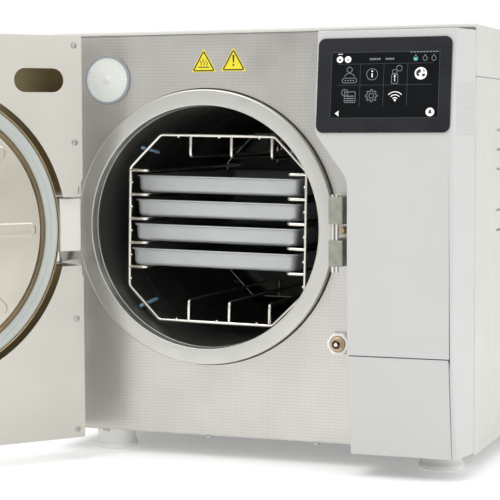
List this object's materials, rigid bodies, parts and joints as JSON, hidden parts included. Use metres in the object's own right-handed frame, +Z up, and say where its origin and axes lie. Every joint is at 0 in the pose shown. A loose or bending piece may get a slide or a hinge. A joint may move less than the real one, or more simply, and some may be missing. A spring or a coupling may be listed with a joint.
{
  "type": "benchtop autoclave",
  "caption": "Benchtop steam steriliser with a side hinged round-plate door, wire tray rack with pull-out trays and a touch panel column.",
  "frame": {"origin": "centre of the footprint of the whole machine, with its door standing open, on the bench", "axes": "+Z up, -Y towards the person using it, +X to the right seen from the front; the chamber's axis is parallel to Y"},
  "size_m": [0.646, 0.799, 0.4477],
  "materials": {
    "white_enamel": "satin powder coat",
    "front_steel": "linen textured stainless",
    "liner_steel": "satin brushed",
    "ring_steel": "fine turned",
    "vessel_steel": "polished stainless",
    "disc_steel": "polished stainless",
    "wire_steel": "polished wire",
    "tray_aluminium": "anodised",
    "column_plastic": "smooth moulded",
    "display_glass": "black glass",
    "gasket_silicone": "silicone",
    "glide_plastic": "translucent blue",
    "cast_steel": "satin cast",
    "bright_steel": "polished",
    "brass": "satin",
    "white_plastic": "moulded",
    "foot_plastic": "moulded",
    "filter_plastic": "pleated medium in a clear rim",
    "dark_plastic": "moulded",
    "grey_plastic": "moulded",
    "insulation": "mineral wool felt",
    "tank_plastic": "translucent",
    "board_green": "solder resist",
    "heater": "heat tinted",
    "zinc": "zinc plated",
    "pump_metal": "cast"
  },
  "bodies": {
    "cabinet": {"base_pan": "zinc", "front_plate": "front_steel", "plate_screws": "zinc", "left_side_panel": "white_enamel", "right_side_panel": "white_enamel", "top_cover": "white_enamel", "rear_panel": "white_enamel", "feet": "foot_plastic", "chamber_vessel": "vessel_steel", "sealing_ring": "ring_steel", "heater_bands": "heater", "insulation_jacket": "insulation", "chamber_cradles": "zinc", "hinge_bracket": "bright_steel", "hinge_pin": "bright_steel", "latch_blocks": "cast_steel", "latch_rods": "bright_steel", "door_sensor": "brass", "drain_nut": "white_plastic", "drain_barrel": "brass", "column_fascia": "column_plastic", "display_bezel": "display_glass", "display_module": "dark_plastic", "control_board": "board_green", "service_panel": "grey_plastic", "usb_port": "dark_plastic", "flap_brackets": "zinc", "clean_water_tank": "tank_plastic", "waste_water_tank": "tank_plastic", "steam_generator": "bright_steel", "vacuum_pump": "pump_metal", "water_pump": "dark_plastic", "condenser": "tray_aluminium", "valve_manifold": "brass", "safety_valve": "brass", "power_supply": "zinc", "fan_housing": "dark_plastic", "power_inlet": "dark_plastic", "lid_hinge": "grey_plastic"},
    "door": {"door_shell": "column_plastic", "door_liner": "liner_steel", "liner_screws": "bright_steel", "door_disc": "disc_steel", "inner_plate": "disc_steel", "door_gasket": "gasket_silicone", "door_arm": "white_enamel"},
    "claw": {"lock_claw": "cast_steel"},
    "rack": {"rack_frames": "wire_steel", "rack_rails": "wire_steel", "rack_glides": "glide_plastic"},
    "tray_1": {"tray_1": "tray_aluminium"},
    "tray_2": {"tray_2": "tray_aluminium"},
    "tray_3": {"tray_3": "tray_aluminium"},
    "tray_4": {"tray_4": "tray_aluminium"},
    "flap": {"service_flap": "column_plastic"},
    "switch": {"power_switch": "dark_plastic"},
    "filter": {"bio_filter": "filter_plastic"},
    "coupling_pin": {"drain_pin": "bright_steel"},
    "fan": {"fan_rotor": "dark_plastic"},
    "lid": {"fill_lid": "white_plastic"}
  },
  "joints": [
    {"name": "door_swing", "type": "hinge", "parent": "cabinet", "child": "door", "pos_m": [-0.1146, -0.1221, 0.241], "axis": [0, 0, 1], "range_deg": [0, 127.9]},
    {"name": "claw_turn", "type": "hinge", "parent": "door", "child": "claw", "pos_m": [-0.30959, -0.36215, 0.241], "axis": [0, 0, 1], "range_deg": [0, 15]},
    {"name": "rack_slide", "type": "slide", "parent": "cabinet", "child": "rack", "axis": [0, 1, 0], "range_m": [-0.3, 0]},
    {"name": "tray_1_slide", "type": "slide", "parent": "rack", "child": "tray_1", "axis": [0, 1, 0], "range_m": [-0.2, 0]},
    {"name": "tray_2_slide", "type": "slide", "parent": "rack", "child": "tray_2", "axis": [0, 1, 0], "range_m": [-0.2, 0]},
    {"name": "tray_3_slide", "type": "slide", "parent": "rack", "child": "tray_3", "axis": [0, 1, 0], "range_m": [-0.2, 0]},
    {"name": "tray_4_slide", "type": "slide", "parent": "rack", "child": "tray_4", "axis": [0, 1, 0], "range_m": [-0.2, 0]},
    {"name": "flap_drop", "type": "hinge", "parent": "cabinet", "child": "flap", "pos_m": [0.259, -0.115, 0.029], "axis": [1, 0, 0], "range_deg": [0, 85]},
    {"name": "switch_rock", "type": "hinge", "parent": "cabinet", "child": "switch", "pos_m": [0.241, -0.078, 0.081], "axis": [1, 0, 0], "range_deg": [0, 20]},
    {"name": "filter_turn", "type": "hinge", "parent": "cabinet", "child": "filter", "pos_m": [-0.071, -0.081, 0.394], "axis": [0, 1, 0], "range_deg": [0, 90]},
    {"name": "coupling_pin_push", "type": "slide", "parent": "cabinet", "child": "coupling_pin", "axis": [0, 1, 0], "range_m": [0, 0.003], "stiffness_N_per_m": 300},
    {"name": "fan_spin", "type": "hinge", "parent": "cabinet", "child": "fan", "pos_m": [-0.001, 0.382, 0.276], "axis": [0, 1, 0], "continuous": true},
    {"name": "lid_lift", "type": "hinge", "parent": "cabinet", "child": "lid", "pos_m": [0.256, 0.053, 0.4454], "axis": [-1, 0, 0], "range_deg": [0, 95]}
  ]
}
